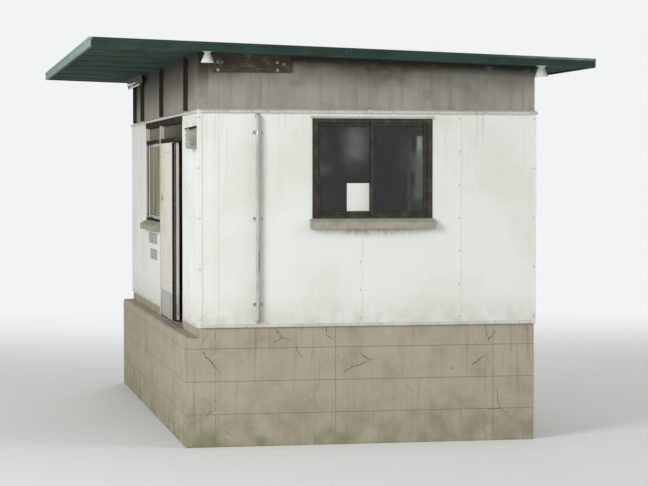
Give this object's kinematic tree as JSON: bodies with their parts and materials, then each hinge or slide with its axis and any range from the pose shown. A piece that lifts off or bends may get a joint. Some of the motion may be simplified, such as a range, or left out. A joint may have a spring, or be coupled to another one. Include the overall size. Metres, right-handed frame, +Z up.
{
  "type": "railway station building",
  "caption": "Small one-room station building with a low single-slope roof over the platform side, a pair of sliding door leaves, sliding windows and a raised concrete foundation.",
  "frame": {"origin": "middle of the roof's plan, at the lowest ground that the foundation meets", "axes": "+Z up, -X faces the platform, +X faces the road, -Y is the end wall that faces along the platform, +Y the other end wall"},
  "size_m": [4.64, 6.65, 3.69],
  "materials": {
    "concrete": "matte",
    "wall_paint": "satin",
    "band_paint": "satin",
    "dark_steel": "satin",
    "trim_paint": "satin",
    "frame_paint": "satin",
    "door_paint": "satin",
    "pull_metal": "satin",
    "sash_metal": "satin",
    "pane_glass": "gloss",
    "sill_mortar": "matte",
    "soffit_paint": "satin",
    "roof_paint": "satin",
    "pipe_plastic": "satin",
    "galvanised": "satin",
    "box_paint": "satin",
    "lamp_enamel": "gloss",
    "bulb_glass": "gloss",
    "board_wood": "matte",
    "porcelain": "gloss"
  },
  "bodies": {
    "building": {"platform_footing": "concrete", "road_footing": "concrete", "end_footings": "concrete", "floor_slab": "concrete", "near_wall": "wall_paint", "far_wall": "wall_paint", "road_wall": "wall_paint", "platform_near_pier": "wall_paint", "platform_far_pier": "wall_paint", "platform_spandrel": "wall_paint", "platform_lintel": "wall_paint", "corner_trims": "wall_paint", "end_bands": "band_paint", "platform_band": "band_paint", "road_band": "band_paint", "band_mullions": "dark_steel", "roof_rafters": "dark_steel", "frame_rails": "dark_steel", "trim_rails": "trim_paint", "frame_posts": "frame_paint", "window_jambs": "sash_metal", "window_rails": "sash_metal", "window_sashes": "sash_metal", "window_glass": "pane_glass", "transom_glass": "pane_glass", "window_sills": "sill_mortar", "soffit_board": "soffit_paint", "roof_deck": "roof_paint", "platform_fascia": "roof_paint", "road_fascia": "roof_paint", "end_fascias": "roof_paint", "gutter_sole": "roof_paint", "gutter_sides": "roof_paint", "downpipe": "pipe_plastic", "service_conduit": "pipe_plastic", "pipe_clips": "galvanised", "door_sill": "galvanised", "wall_box": "box_paint", "lamp_shades": "lamp_enamel", "lamp_bulbs": "bulb_glass", "cable_board": "board_wood", "board_insulators": "porcelain"},
    "outer_door": {"outer_door_leaf": "door_paint", "outer_door_pulls": "pull_metal"},
    "inner_door": {"inner_door_leaf": "door_paint", "inner_door_pulls": "pull_metal"}
  },
  "joints": [
    {"name": "outer_door_slide", "type": "slide", "parent": "building", "child": "outer_door", "axis": [0, 1, 0], "range_m": [-0.889, 0]},
    {"name": "inner_door_slide", "type": "slide", "parent": "building", "child": "inner_door", "axis": [0, 1, 0], "range_m": [-0.889, 0]}
  ]
}
